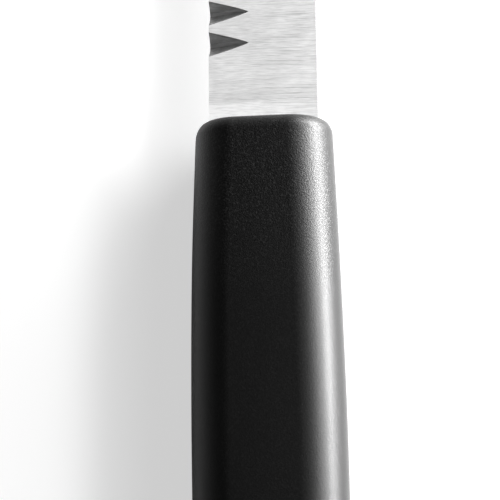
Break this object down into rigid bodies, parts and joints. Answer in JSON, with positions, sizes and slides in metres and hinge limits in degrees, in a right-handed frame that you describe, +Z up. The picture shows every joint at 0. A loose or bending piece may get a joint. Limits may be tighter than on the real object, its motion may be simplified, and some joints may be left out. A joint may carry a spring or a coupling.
{
  "type": "decorating knife",
  "caption": "Kitchen decorating knife: straight steel blade with triangular flutes staggered on both faces for zigzag cuts, in a plain black moulded handle.",
  "frame": {"origin": "middle of the underside of the knife's bounding box; the knife lies flat on the underside of its handle", "axes": "+Y from the handle to the blade's tip, -X towards the cutting edge, +X towards the spine, +Z up from the surface it lies on"},
  "size_m": [0.028, 0.2272, 0.017],
  "materials": {
    "blade": "fine brushed lines across the blade, flutes ground darker",
    "handle_core": "as moulded, hidden",
    "handle_grip": "satin black with a fine moulded grain"
  },
  "bodies": {
    "root": {"blade": "blade", "handle_core": "handle_core", "handle_grip": "handle_grip"}
  },
  "joints": []
}
